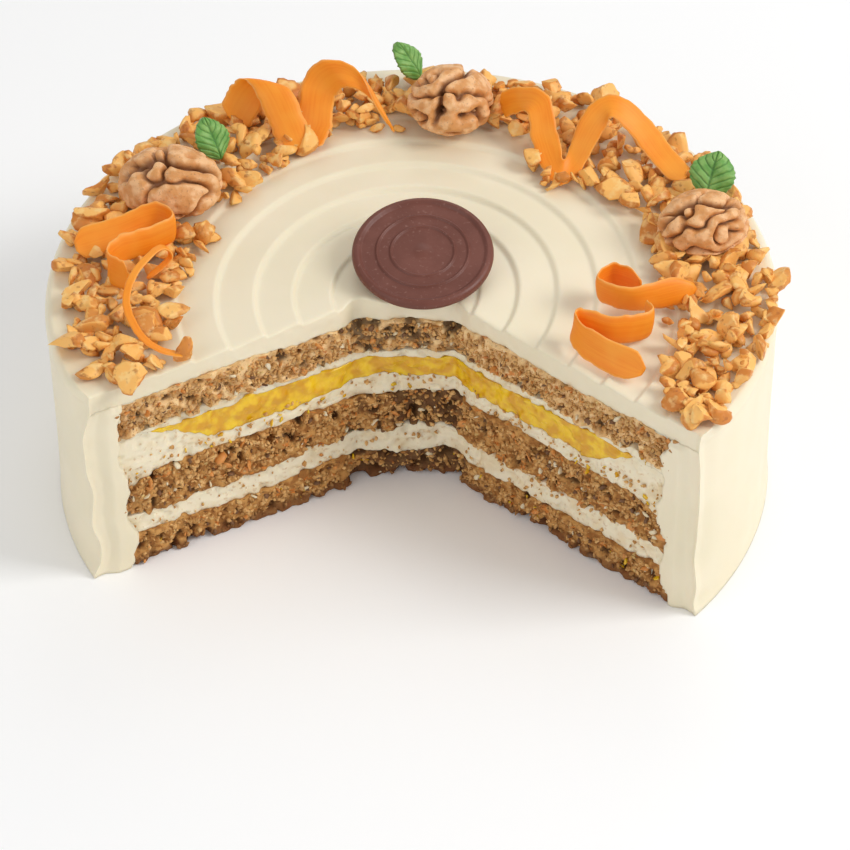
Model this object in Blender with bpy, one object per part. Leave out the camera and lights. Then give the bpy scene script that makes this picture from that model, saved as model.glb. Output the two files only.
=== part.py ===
"""Carrot cake with a wedge cut out: layered sponge, curd and cream under smooth frosting,
topped with a chocolate disc, walnut halves, chopped walnut, mint-shaped leaves and carrot ribbons.
Metres, +Z up, origin at the middle of the round base."""
import math

import bmesh
import bpy
import numpy as np
from mathutils import Matrix, Vector

for item in list(bpy.data.objects):
    bpy.data.objects.remove(item, do_unlink=True)

MM = 0.001
GAP = 0.3 * MM

# whole cake
RADIUS = 110 * MM
HEIGHT = 71 * MM
SHOULDER = 4 * MM
SIDE_FROSTING = 9 * MM
SPONGE_RADIUS = RADIUS - SIDE_FROSTING
CURD_RADIUS = 89 * MM
AROUND = 96

# the missing wedge: two cut faces and a short torn end between them
CUT_LEFT_DEG = 208.0
CUT_RIGHT_DEG = -41.0
TORN_LEFT = (-17 * MM, -9.6 * MM)
TORN_RIGHT = (12 * MM, -9.8 * MM)

# heights where the layers meet, from the base up
Z_SPONGE_BOTTOM = 11 * MM
Z_CREAM_LOWER = 19.5 * MM
Z_SPONGE_MIDDLE = 34.5 * MM
Z_CREAM_MIDDLE = 41 * MM
Z_CURD = 49 * MM
Z_CREAM_THIN = 51.5 * MM
Z_SPONGE_TOP = 63 * MM

# chocolate disc
DISC_CENTRE = (3.5 * MM, 6.8 * MM, 75.3 * MM)
DISC_RADIUS = 21.3 * MM
DISC_THICK = 3.6 * MM
DISC_TILT_DEG = 11.0

# toppings
NUT_FLOOR = HEIGHT + GAP
RIBBON_THICK = 0.9 * MM


def material(name, colour, roughness):
    """A Principled material with a plain colour."""
    made = bpy.data.materials.new(name)
    made.use_nodes = True
    shader = made.node_tree.nodes["Principled BSDF"]
    shader.inputs["Base Color"].default_value = (*colour, 1.0)
    shader.inputs["Roughness"].default_value = roughness
    shader.inputs["Metallic"].default_value = 0.0
    return made


FROSTING = material("frosting", (0.86, 0.79, 0.62), 0.45)
CREAM = material("cream", (0.88, 0.83, 0.68), 0.45)
SPONGE = material("sponge", (0.42, 0.23, 0.09), 0.85)
CURD = material("curd", (0.86, 0.50, 0.02), 0.25)
CHOCOLATE = material("chocolate", (0.09, 0.035, 0.022), 0.4)
WALNUT = material("walnut", (0.50, 0.24, 0.10), 0.55)
LEAF = material("leaf", (0.08, 0.28, 0.07), 0.5)
CARROT = material("carrot", (0.90, 0.35, 0.06), 0.4)


def add(name, verts, faces, slot, smooth=True):
    """One named object from plain vertices and faces, with its normals facing out."""
    mesh = bpy.data.meshes.new(name)
    mesh.from_pydata([tuple(v) for v in verts], [], faces)
    work = bmesh.new()
    work.from_mesh(mesh)
    bmesh.ops.recalc_face_normals(work, faces=work.faces)
    work.to_mesh(mesh)
    work.free()
    for face in mesh.polygons:
        face.use_smooth = smooth
    mesh.materials.append(slot)
    made = bpy.data.objects.new(name, mesh)
    bpy.context.collection.objects.link(made)
    return made


def turned(name, profile, slot):
    """A closed body turned about Z from a closed (radius, height) profile; radius 0 is a pole."""
    rings = []
    verts = []
    for radius, height in profile:
        if radius == 0:
            rings.append([len(verts)] * AROUND)
            verts.append((0, 0, height))
            continue
        rings.append(list(range(len(verts), len(verts) + AROUND)))
        for step in range(AROUND):
            angle = math.tau * step / AROUND
            verts.append((radius * math.cos(angle), radius * math.sin(angle), height))
    faces = []
    for low, high in zip(rings, rings[1:] + rings[:1]):
        for step in range(AROUND):
            after = (step + 1) % AROUND
            corners = []
            for corner in (low[step], low[after], high[after], high[step]):
                if corner not in corners:
                    corners.append(corner)
            if len(corners) > 2:
                faces.append(corners)
    return add(name, verts, faces, slot)


def along(start, degrees, distance):
    """The point a distance from a start in a direction given in degrees."""
    angle = math.radians(degrees)
    return (start[0] + distance * math.cos(angle), start[1] + distance * math.sin(angle))


def wedge():
    """The prism of the missing wedge, reaching past the rim, the base and the top."""
    reach = 2.2 * RADIUS
    corners = [
        TORN_LEFT,
        along(TORN_LEFT, CUT_LEFT_DEG, reach),
        along(TORN_RIGHT, CUT_RIGHT_DEG, reach),
        TORN_RIGHT,
    ]
    low = -20 * MM
    high = HEIGHT + 40 * MM
    verts = [(x, y, z) for z in (low, high) for x, y in corners]
    faces = [(0, 1, 2, 3), (4, 5, 6, 7)]
    faces += [(n, (n + 1) % 4, (n + 1) % 4 + 4, n + 4) for n in range(4)]
    tool = add("wedge_cutter", verts, faces, FROSTING, smooth=False)
    tool.hide_render = True
    tool.display_type = "WIRE"
    return tool


WEDGE = wedge()


def cut(body):
    """Take the wedge out of a body."""
    boolean = body.modifiers.new("cut", "BOOLEAN")
    boolean.operation = "DIFFERENCE"
    boolean.solver = "EXACT"
    boolean.object = WEDGE
    return body


def layer(name, low, high, radius, slot):
    """A flat round layer between two heights, kept a little clear of its neighbours."""
    bottom = low + GAP / 2
    top = high - GAP / 2
    profile = [(0, bottom), (radius, bottom), (radius, top), (0, top)]
    return cut(turned(name, profile, slot))


# frosting: a lid and a side wall in one piece, with a rounded shoulder
shell = [(SPONGE_RADIUS + GAP, 0), (RADIUS, 0)]
for step in range(6):
    turn = math.radians(90 * step / 5)
    shell.append((RADIUS - SHOULDER + SHOULDER * math.cos(turn),
                  HEIGHT - SHOULDER + SHOULDER * math.sin(turn)))
for radius in (90 * MM, 60 * MM, 30 * MM, 0):
    shell.append((radius, HEIGHT))
shell += [(0, Z_SPONGE_TOP + GAP / 2), (SPONGE_RADIUS + GAP, Z_SPONGE_TOP + GAP / 2)]
cut(turned("frosting", shell, FROSTING))

# layers under the frosting
sponge_profile = [(0, 0), (SPONGE_RADIUS, 0), (SPONGE_RADIUS, Z_SPONGE_BOTTOM - GAP / 2),
                  (0, Z_SPONGE_BOTTOM - GAP / 2)]
cut(turned("sponge_bottom", sponge_profile, SPONGE))
layer("cream_lower", Z_SPONGE_BOTTOM, Z_CREAM_LOWER, SPONGE_RADIUS, CREAM)
layer("sponge_middle", Z_CREAM_LOWER, Z_SPONGE_MIDDLE, SPONGE_RADIUS, SPONGE)
dish = [(0, Z_SPONGE_MIDDLE + GAP / 2), (SPONGE_RADIUS, Z_SPONGE_MIDDLE + GAP / 2),
        (SPONGE_RADIUS, Z_CURD - GAP / 2), (CURD_RADIUS + GAP, Z_CURD - GAP / 2),
        (CURD_RADIUS + GAP, Z_CREAM_MIDDLE - GAP / 2), (0, Z_CREAM_MIDDLE - GAP / 2)]
cut(turned("cream_middle", dish, CREAM))
layer("curd", Z_CREAM_MIDDLE, Z_CURD, CURD_RADIUS, CURD)
layer("cream_thin", Z_CURD, Z_CREAM_THIN, SPONGE_RADIUS, CREAM)
layer("sponge_top", Z_CREAM_THIN, Z_SPONGE_TOP, SPONGE_RADIUS, SPONGE)

# chocolate disc: rounded rim, a groove inside it and two low raised rings round a small boss
rim = DISC_THICK / 2
coin = [(0, 0), (DISC_RADIUS - rim, 0)]
for step in range(1, 8):
    turn = math.radians(-90 + 180 * step / 8)
    coin.append((DISC_RADIUS - rim + rim * math.cos(turn), rim + rim * math.sin(turn)))
face = DISC_THICK - 0.8 * MM
for radius, rise in ((19.7, 0.8), (18.4, 0.7), (17.6, 0), (14.6, 0), (14.1, 0.5), (13.5, 0.5),
                     (13.0, 0), (10.4, 0), (9.9, 0.5), (9.3, 0.5), (8.8, 0), (4.2, 0), (3.4, 0.5)):
    coin.append((radius * MM, face + rise * MM))
coin.append((0, face + 0.7 * MM))
disc = turned("chocolate_disc", coin, CHOCOLATE)
disc.location = DISC_CENTRE
disc.rotation_euler = (math.radians(DISC_TILT_DEG), 0, 0)


def dome(name, centre, size, turn_deg, lobes, slot, rows=12, columns=24):
    """A half shell on a flat foot, its radius swelling and pinching in lobes and folds."""
    verts = [(0, 0, 0)]
    for row in range(rows):
        rise = math.radians(90 * row / rows)
        for column in range(columns):
            angle = math.tau * column / columns
            fold = 1 + lobes * (0.6 * math.cos(4 * angle) * math.cos(rise)
                                + 0.5 * math.sin(3 * angle + 5 * rise)
                                + 0.4 * math.cos(7 * angle - 4 * rise) * math.sin(2 * rise))
            split = 1 - 0.9 * lobes * math.exp(-(math.sin(angle) * math.cos(rise) / 0.18) ** 2)
            verts.append((size[0] / 2 * math.cos(angle) * math.cos(rise) * fold,
                          size[1] / 2 * math.sin(angle) * math.cos(rise) * fold,
                          size[2] * math.sin(rise) * split * (0.8 + 0.2 * fold)))
    verts.append((0, 0, size[2] * (1 - 0.9 * lobes)))
    faces = []
    for column in range(columns):
        after = (column + 1) % columns
        faces.append((0, 1 + after, 1 + column))
        last = 1 + (rows - 1) * columns
        faces.append((last + column, last + after, len(verts) - 1))
        for row in range(rows - 1):
            low = 1 + row * columns
            high = low + columns
            faces.append((low + column, low + after, high + after, high + column))
    made = add(name, verts, faces, slot)
    made.location = centre
    made.rotation_euler = (0, 0, math.radians(turn_deg))
    return made


# walnut halves: x, y, length, width, height, turn
HALVES = [
    (-73, 40, 31, 23, 14, -6),
    (13, 79, 27, 23, 14, 65),
    (88, 16, 26, 22, 14, 8),
]
for count, (x, y, long, wide, tall, turn) in enumerate(HALVES, 1):
    dome(f"walnut_half_{count}", (x * MM, y * MM, NUT_FLOOR + 0.5 * MM),
         (long * MM, wide * MM, tall * MM), turn, 0.10, WALNUT)

# larger pieces of chopped walnut: x, y, half length, half width
PIECES = [
    (-82, -45, 6, 4), (-101, -30, 6, 4), (-101, -8, 5, 4),
    (-96, 29, 5, 4), (-50, 47, 4, 3),
    (-62, 23, 4, 3), (46, 85, 4, 4), (64, 38, 5, 4),
    (79, -2, 5, 4), (98, -2, 5, 3), (109, -4, 4, 4), (107, -22, 5, 3),
    (98, -42, 4, 3), (77, -58, 5, 4), (87, -64, 4, 3), (85, -30, 5, 3),
]
for count, (x, y, long, wide) in enumerate(PIECES, 1):
    dome(f"walnut_piece_{count:02d}", (x * MM, y * MM, NUT_FLOOR),
         (2 * long * MM, 2 * wide * MM, 1.6 * wide * MM), 67 * count, 0.12, WALNUT, 4, 8)


def leaf(name, centre, length, width, turns):
    """A serrated, veined leaf: a thin shell that arches across and dips along its midrib."""
    rows = 14
    columns = 8
    verts = []
    for side in (0.45 * MM, -0.45 * MM):
        for row in range(rows + 1):
            t = row / rows
            tooth = 1 + 0.07 * (row % 2)
            half = width / 2 * max(math.sin(math.pi * t) ** 0.7, 0.06) * tooth
            for column in range(columns + 1):
                s = 2 * column / columns - 1
                vein = 0.35 * MM * math.cos(math.tau * (5 * t - 1.2 * abs(s))) * abs(s)
                lift = 1.4 * MM * abs(s) - 2.0 * MM * s * s + vein
                verts.append((s * half, length * (t - 0.5), lift + side))
    faces = []
    grid = columns + 1
    layer_size = grid * (rows + 1)
    for row in range(rows):
        for column in range(columns):
            a = row * grid + column
            faces.append((a, a + 1, a + grid + 1, a + grid))
            b = a + layer_size
            faces.append((b, b + grid, b + grid + 1, b + 1))
    edge = list(range(grid))
    edge += [row * grid + columns for row in range(1, rows + 1)]
    edge += [rows * grid + column for column in range(columns - 1, -1, -1)]
    edge += [row * grid for row in range(rows - 1, 0, -1)]
    for one, two in zip(edge, edge[1:] + edge[:1]):
        faces.append((one, two, two + layer_size, one + layer_size))
    made = add(name, verts, faces, LEAF)
    made.location = [value * MM for value in centre]
    made.rotation_euler = [math.radians(value) for value in turns]
    return made


leaf("leaf_1", (-61, 58, 82), 14 * MM, 11 * MM, (50, 0, 35))
leaf("leaf_2", (0, 97, 82), 14 * MM, 10 * MM, (48, 0, 55))
leaf("leaf_3", (92, 35, 83), 15 * MM, 14 * MM, (48, 0, -25))


def ribbon(name, width, stations, steps=5):
    """A thin strip swept through stations of (x, y, z, edge yaw, edge pitch) in mm and degrees.
    Between stations the middle line and the edge direction follow a Catmull-Rom curve."""
    knots = []
    for x, y, z, yaw, pitch in stations:
        yaw = math.radians(yaw)
        pitch = math.radians(pitch)
        edge = (math.cos(pitch) * math.cos(yaw), math.cos(pitch) * math.sin(yaw), math.sin(pitch))
        knots.append(np.array((x * MM, y * MM, z * MM, *edge)))
    knots = [2 * knots[0] - knots[1], *knots, 2 * knots[-1] - knots[-2]]
    rows = []
    for a, b, c, d in zip(knots, knots[1:], knots[2:], knots[3:]):
        for step in range(steps):
            t = step / steps
            rows.append(0.5 * (2 * b + (c - a) * t + (2 * a - 5 * b + 4 * c - d) * t * t
                               + (3 * b - a - 3 * c + d) * t ** 3))
    rows.append(knots[-2])
    verts = []
    for index, row in enumerate(rows):
        ahead = rows[min(index + 1, len(rows) - 1)][:3] - rows[max(index - 1, 0)][:3]
        edge = Vector(row[3:]).normalized()
        across = Vector(ahead).cross(edge).normalized() * RIBBON_THICK / 2
        middle = Vector(row[:3])
        ends = 0.7 + 0.3 * math.sin(math.pi * min(1, 4 * min(index, len(rows) - 1 - index)
                                                  / len(rows)) / 2)
        half = edge * width / 2 * ends
        for corner in (half + across, across, -half + across,
                       -half - across, -across, half - across):
            point = middle + corner
            point.z = max(point.z, NUT_FLOOR + 0.1 * MM)
            verts.append(point)
    faces = [(0, 1, 2, 3, 4, 5)]
    for index in range(len(rows) - 1):
        for side in range(6):
            a = index * 6 + side
            b = index * 6 + (side + 1) % 6
            faces.append((a, b, b + 6, a + 6))
    faces.append(tuple(range(len(verts) - 6, len(verts))))
    return add(name, verts, faces, CARROT)


ribbon("carrot_ribbon_1", 9 * MM, [
    (-101, 12, 77, 110, 45), (-89, 16, 79, 90, 50), (-77, 21, 81, 90, 65), (-71, 17, 80, 90, 85),
    (-78, 12, 79, 90, 85), (-87, 6, 80, 90, 72), (-90, 0, 79, 90, 72), (-84, -4, 78, 90, 72),
])
ribbon("carrot_ribbon_2", 2.4 * MM, [
    (-79, 0, 74, -60, 0), (-72, 4, 79, -60, 0), (-75, 2, 84, -50, 0), (-82, -9, 83, -25, 0),
    (-84, -19, 80, 0, 0), (-80, -29, 77, 30, 0), (-74, -34, 75, 55, 0), (-66, -36, 74, 80, 0),
])
ribbon("carrot_ribbon_3", 11 * MM, [
    (-55, 76, 75, 150, 30), (-51, 79, 82, 160, 25), (-46, 79, 88, 170, 10), (-42, 75, 87, 180, 0),
    (-38, 69, 80, 180, 0),
    (-34, 63, 74, 180, 0), (-30, 72, 76, 175, 10), (-28, 79, 85, 165, 30), (-22, 79, 91, 150, 45),
    (-13, 77, 87, 145, 60), (-6, 70, 77, 155, 50),
])
ribbon("carrot_ribbon_4", 8.5 * MM, [
    (29, 78, 78, 115, 60), (34, 74, 83, 75, 50), (40, 69, 85, 30, 25), (42, 61, 78, 10, 15),
    (46, 49, 74, 70, 30), (51, 53, 76, 115, 30), (57, 60, 85, 140, 20), (63, 62, 89, 80, 20),
    (71, 58, 84, 45, 10), (77, 51, 79, 40, 10), (84, 43, 75, 35, 5),
])
ribbon("carrot_ribbon_5", 9.5 * MM, [
    (84, -12, 78, 150, 55), (66, -19, 79, 180, 78), (55, -14, 79, 180, 85), (60, -7, 79, 180, 85),
    (68, -11, 79, 170, 80),
])
ribbon("carrot_ribbon_6", 9.5 * MM, [
    (69, -22, 77, 90, 75), (70, -28, 77, 60, 75), (59, -32, 78, 60, 75), (48, -28, 78, 40, 78),
    (51, -36, 77, 60, 70), (67, -47, 75, 40, 45),
])
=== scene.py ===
# %% [markdown]
# # A carrot cake with a wedge cut out
# The cake is soft, wet and crumbly, so almost nothing on it is flat. The CAD frame gives the true sizes,
# and each cell below grows one finer piece inside it: first the layers that show at the cut, then the
# frosting round them, then the toppings. Everything is made from small functions on grids of points.

# %% the frame, the numbers that every piece shares
import math

import bmesh
import bpy
import numpy as np
from mathutils import Matrix


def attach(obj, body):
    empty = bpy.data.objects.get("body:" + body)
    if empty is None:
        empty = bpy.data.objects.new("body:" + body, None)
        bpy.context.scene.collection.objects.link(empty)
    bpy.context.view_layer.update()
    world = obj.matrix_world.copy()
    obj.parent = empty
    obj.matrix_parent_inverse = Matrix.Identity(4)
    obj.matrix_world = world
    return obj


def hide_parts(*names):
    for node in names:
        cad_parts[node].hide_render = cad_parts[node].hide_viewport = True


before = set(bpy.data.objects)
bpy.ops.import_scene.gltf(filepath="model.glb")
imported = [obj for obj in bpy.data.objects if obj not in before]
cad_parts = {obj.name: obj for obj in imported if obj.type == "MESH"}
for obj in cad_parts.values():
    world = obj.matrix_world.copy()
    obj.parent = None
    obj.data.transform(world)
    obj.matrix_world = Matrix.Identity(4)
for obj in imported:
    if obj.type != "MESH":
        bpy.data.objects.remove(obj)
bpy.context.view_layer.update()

MM = 0.001
RADIUS = 110 * MM
HEIGHT = 71 * MM
SPONGE_RADIUS = 101 * MM
CURD_RADIUS = 89 * MM
SHOULDER = 4 * MM
TORN_LEFT = np.array((-17.0, -9.6)) * MM
TORN_RIGHT = np.array((12.0, -9.8)) * MM
LEFT_DEG = 208.0
RIGHT_DEG = -41.0
FINE = 1.0
rng = np.random.default_rng(7)

# %% [markdown]
# ## Shader arithmetic
# A material is a formula: colour = base * noise + stain. Wiring that by hand hides it, so one small class
# lets a socket be added, multiplied and compared as if it were a number. Numbers alone stay in Python;
# a node is made only when a socket takes part.


# %% sockets that behave like numbers
class Wire:
    """A shader socket with arithmetic. a + b, a * b and so on make Math nodes, for vectors Vector Math."""

    def __init__(self, look, socket):
        self.look = look
        self.socket = socket

    def _math(self, operation, *terms):
        vector = any(isinstance(t, Wire) and t.socket.type in ("VECTOR", "RGBA") for t in terms)
        kind = "ShaderNodeVectorMath" if vector else "ShaderNodeMath"
        node = self.look.node(kind, {"operation": operation}, *terms)
        return node[0]

    def __add__(self, other): return self._math("ADD", self, other)
    def __radd__(self, other): return self._math("ADD", other, self)
    def __sub__(self, other): return self._math("SUBTRACT", self, other)
    def __rsub__(self, other): return self._math("SUBTRACT", other, self)
    def __mul__(self, other): return self._math("MULTIPLY", self, other)
    def __rmul__(self, other): return self._math("MULTIPLY", other, self)
    def __truediv__(self, other): return self._math("DIVIDE", self, other)
    def __rtruediv__(self, other): return self._math("DIVIDE", other, self)
    def __pow__(self, other): return self._math("POWER", self, other)
    def __rpow__(self, other): return self._math("POWER", other, self)
    def __neg__(self): return self._math("MULTIPLY", self, -1.0)

    def ramp(self, low, high):
        """Smooth step: 0 below low, 1 above high, 3t^2 - 2t^3 between."""
        return self.look.node("ShaderNodeMapRange", {"interpolation_type": "SMOOTHSTEP"},
                              Value=self, **{"From Min": low, "From Max": high})[0]


class Look:
    """One Principled material and the ways to feed it."""

    def __init__(self, name, roughness=0.5, subsurface=0.0, depth=1.5 * MM, coat=0.0, ior=1.45):
        self.material = bpy.data.materials.new(name)
        self.material.use_nodes = True
        self.tree = self.material.node_tree
        self.shader = self.tree.nodes["Principled BSDF"]
        self.set("Roughness", roughness)
        self.set("IOR", ior)
        self.set("Coat Weight", coat)
        self.set("Coat Roughness", 0.25)
        self.shader.inputs["Subsurface Weight"].default_value = subsurface
        self.shader.inputs["Subsurface Scale"].default_value = depth
        self.shader.inputs["Subsurface Radius"].default_value = (1.0, 0.7, 0.4)
        self.place = Wire(self, self.tree.nodes.new("ShaderNodeTexCoord").outputs["Object"])

    def node(self, kind, settings=None, *ordered, **named):
        """Any node: settings first, then socket values or links by order or name. Returns its outputs."""
        made = self.tree.nodes.new(kind)
        for key, value in (settings or {}).items():
            setattr(made, key, value)
        pairs = list(zip(made.inputs, ordered)) + [(made.inputs[key], v) for key, v in named.items()]
        for socket, value in pairs:
            self.feed(socket, value)
        return [Wire(self, out) for out in made.outputs if out.enabled]

    def feed(self, socket, value):
        if isinstance(value, Wire):
            self.tree.links.new(value.socket, socket)
        elif socket.type == "RGBA" and len(value) == 3:
            socket.default_value = (*value, 1.0)
        elif socket.type == "VECTOR" and not hasattr(value, "__len__"):
            socket.default_value = (value, value, value)
        else:
            socket.default_value = value

    def set(self, name, value):
        self.feed(self.shader.inputs[name], value)

    def noise(self, size, detail=2.0, stretch=(1, 1, 1)):
        """Noise whose lumps are about size metres across, stretched by the given factors. 0 to 1."""
        where = self.node("ShaderNodeMapping", {}, Vector=self.place,
                          Scale=tuple(1 / (size * s) for s in stretch))[0]
        return self.node("ShaderNodeTexNoise", {}, Vector=where, Scale=1.0, Detail=detail)[0]

    def cells(self, size):
        """Distance to the nearest of many scattered points, in units of size."""
        return self.node("ShaderNodeTexVoronoi", {}, Vector=self.place, Scale=1 / size)[0]

    def tone(self, name="tone"):
        """A number stored on the mesh's own points."""
        return self.node("ShaderNodeAttribute", {"attribute_name": name})[2]

    def mix(self, share, first, second):
        """first where share is 0, second where it is 1."""
        made = self.tree.nodes.new("ShaderNodeMix")
        made.data_type = "RGBA"
        self.feed(made.inputs["Factor"], share)
        self.feed(made.inputs[6], first)
        self.feed(made.inputs[7], second)
        return Wire(self, made.outputs[2])

    def bump(self, height, distance, strength=1.0):
        made = self.node("ShaderNodeBump", {}, Strength=strength, Distance=distance, Height=height)[0]
        self.set("Normal", made)


# %% [markdown]
# ## Points, noise and closed meshes
# Displacement in mesh needs noise that Python can read, so value noise is written out: random numbers on
# a cubic lattice, blended smoothly. A grid of points becomes a mesh with one array of quads, and doubled
# points at seams and poles are welded so that every piece is closed.


# %% noise and mesh helpers
def smooth(x, low, high):
    """3t^2 - 2t^3 with t running from 0 at low to 1 at high."""
    t = np.clip((x - low) / (high - low), 0, 1)
    return t * t * (3 - 2 * t)


def noise(points, size, seed=0):
    """Value noise, 0 to 1: hashed lattice values at pitch size, blended by 3t^2 - 2t^3 on each axis."""
    place = np.asarray(points) / size + 512.0
    cell = np.floor(place).astype(np.int64)
    t = place - cell
    t = t * t * (3 - 2 * t)
    total = 0
    for corner in range(8):
        step = np.array([(corner >> axis) & 1 for axis in range(3)])
        key = (cell + step) @ np.array((73856093, 19349663, 83492791)) + seed * 9176263
        key = (key ^ (key >> 13)) * 1274126177
        value = ((key ^ (key >> 16)) & 0xFFFF) / 65535.0
        total = total + value * np.prod(np.where(step, t, 1 - t), axis=-1)
    return total


def fractal(points, size, octaves=3, seed=0):
    """Sum of value noise at size, size/2, size/4 ..., each half as strong, scaled back to 0..1."""
    total = 0
    for octave in range(octaves):
        total = total + noise(points, size / 2 ** octave, seed + 31 * octave) / 2 ** octave
    return total / (2 - 2 ** (1 - octaves))


def quads(rows, columns, wrap_rows=False, wrap_columns=False):
    """Quads joining grid point (i, j) to (i+1, j+1), wrapping round where asked."""
    i = np.arange(rows if wrap_rows else rows - 1)[:, None]
    j = np.arange(columns if wrap_columns else columns - 1)[None, :]
    i2 = (i + 1) % rows
    j2 = (j + 1) % columns
    return np.stack([i * columns + j, i2 * columns + j, i2 * columns + j2, i * columns + j2],
                    axis=-1).reshape(-1, 4)


def capped(grid):
    """The grid with a first and last row gathered at one point, which closes both ends."""
    first = grid[:1].mean(axis=1, keepdims=True).repeat(grid.shape[1], 1)
    last = grid[-1:].mean(axis=1, keepdims=True).repeat(grid.shape[1], 1)
    return np.concatenate([first, grid, last])


def piece(name, verts, faces, look, slot, replaces=(), weld=True, **values):
    """A closed mesh riding on the cake: welded where points coincide, faces outward, shaded smooth."""
    verts = np.asarray(verts, dtype=float).reshape(-1, 3)
    mesh = bpy.data.meshes.new(name)
    mesh.from_pydata(verts.tolist(), [], faces.tolist())
    for key, value in values.items():
        mesh.attributes.new(key, "FLOAT", "POINT").data.foreach_set(
            "value", np.ascontiguousarray(value, dtype=np.float32).ravel())
    work = bmesh.new()
    work.from_mesh(mesh)
    if weld:
        bmesh.ops.remove_doubles(work, verts=work.verts, dist=2e-6)
    bmesh.ops.recalc_face_normals(work, faces=work.faces)
    work.to_mesh(mesh)
    work.free()
    mesh.polygons.foreach_set("use_smooth", np.ones(len(mesh.polygons), dtype=bool))
    mesh.materials.append(look.material)
    made = bpy.data.objects.new(name, mesh)
    bpy.context.collection.objects.link(made)
    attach(made, "root")
    if replaces:
        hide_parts(*replaces)
    print(f"{name}: {len(mesh.polygons)} faces")
    return made


# %% [markdown]
# ## The path of the cut
# The wedge was lifted out along two straight cuts that stop short of the middle, where the crumb tore.
# One path runs in along the left face, across the torn end and out along the right face. Every layer
# uses the same path, so their faces line up.


# %% path of the cut, and ragged heights between layers
def heading(degrees):
    """The unit vector at an angle in the plane."""
    return np.array((math.cos(math.radians(degrees)), math.sin(math.radians(degrees))))


def reach(start, direction, radius):
    """How far from start along direction a circle about the middle is met: |start + t d| = radius."""
    b = start @ direction
    return -b + math.sqrt(b * b - start @ start + radius * radius)


def cut_path(radius, spacing):
    """Points along the cut for a layer of this radius, the side that faces the gap, and how torn it is."""
    left = heading(LEFT_DEG)
    right = heading(RIGHT_DEG)
    far_left = reach(TORN_LEFT, left, radius)
    far_right = reach(TORN_RIGHT, right, radius)
    t = np.linspace(far_left, 0, int(far_left / spacing))[:, None]
    u = np.linspace(0, 1, int(np.linalg.norm(TORN_RIGHT - TORN_LEFT) / spacing) + 1)[1:-1, None]
    w = np.linspace(0, far_right, int(far_right / spacing))[:, None]
    points = np.concatenate([TORN_LEFT + t * left, TORN_LEFT + u * (TORN_RIGHT - TORN_LEFT),
                             TORN_RIGHT + w * right])
    side = np.concatenate([np.tile((-left[1], left[0]), (len(t), 1)), np.tile((0.0, -1.0), (len(u), 1)),
                           np.tile((right[1], -right[0]), (len(w), 1))])
    blur = np.hanning(int(6 * MM / spacing) | 1)
    blur /= blur.sum()
    half = len(blur) // 2
    for axis in range(2):
        side[:, axis] = np.convolve(np.pad(side[:, axis], half, mode="edge"), blur, "valid")
    side /= np.linalg.norm(side, axis=1, keepdims=True)
    torn = smooth(-np.abs(points[:, 0] + 2.5 * MM), -20 * MM, -12 * MM)
    ends = np.minimum(np.arange(len(points)), np.arange(len(points))[::-1]) * spacing
    return points, side, torn, smooth(ends, 0, 1.5 * MM)


def rim_points(radius, count):
    """Points round the outside of the cake, from the left end of the cut the long way to the right end."""
    left = TORN_LEFT + reach(TORN_LEFT, heading(LEFT_DEG), radius) * heading(LEFT_DEG)
    right = TORN_RIGHT + reach(TORN_RIGHT, heading(RIGHT_DEG), radius) * heading(RIGHT_DEG)
    first = math.atan2(left[1], left[0]) + math.tau
    last = math.atan2(right[1], right[0])
    angle = np.linspace(first, last, count)
    return np.stack([radius * np.cos(angle), radius * np.sin(angle)], axis=-1)


def height(level, wobble, size, seed, dip=0.0, start=82 * MM, stop=100 * MM):
    """A ragged height over the plane: level + wobble (2 noise - 1), sinking by dip from start to stop."""
    def at(xy):
        flat = np.concatenate([xy, np.full(xy.shape[:-1] + (1,), seed * 0.013)], axis=-1)
        rise = wobble * (1.3 * noise(flat, 24 * MM, seed + 50) + fractal(flat, size, 2, seed)
                         + 0.7 * fractal(flat, 1.8 * MM, 2, seed + 90) - 1.5)
        return level + rise - dip * smooth(np.linalg.norm(xy, axis=-1), start, stop)
    return at


LEVELS = {
    "base": lambda xy: np.zeros(xy.shape[:-1]),
    "cream_lower": height(11 * MM, 2.4 * MM, 6 * MM, 1),
    "sponge_middle": height(19.5 * MM, 2.6 * MM, 6 * MM, 2),
    "cream_middle": height(34.5 * MM, 2.6 * MM, 6 * MM, 3, dip=5 * MM),
    "curd": height(40.5 * MM, 2.8 * MM, 5 * MM, 4, dip=-8 * MM, start=66 * MM, stop=88 * MM),
    "cream_thin": height(48.7 * MM, 1.6 * MM, 6 * MM, 5),
    "sponge_top": height(51.3 * MM, 2.2 * MM, 6 * MM, 6),
    "lid": height(63.9 * MM, 2.0 * MM, 7 * MM, 7),
}


def ring_top(xy):
    """The middle cream's top: under the curd inside, up to the thin cream in a ring near the rim."""
    ring = smooth(np.linalg.norm(xy, axis=-1), CURD_RADIUS - 2 * MM, CURD_RADIUS + 1 * MM)
    return LEVELS["curd"](xy) * (1 - ring) + LEVELS["cream_thin"](xy) * ring


# %% [markdown]
# ## Layers that show at the cut
# A layer is a closed tube of rows: up the cut face, over the top, down the outside and back along the
# bottom. Only the cut face is fine enough to carry crumb, because the rest lies hidden. Sponge is pushed
# back into pits and holes; cream stands a little proud and smears; curd bulges as if it could run.


# %% layer meshes
PROUD = 1.3 * MM  # how far the highest crumb stands out past the cut


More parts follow.
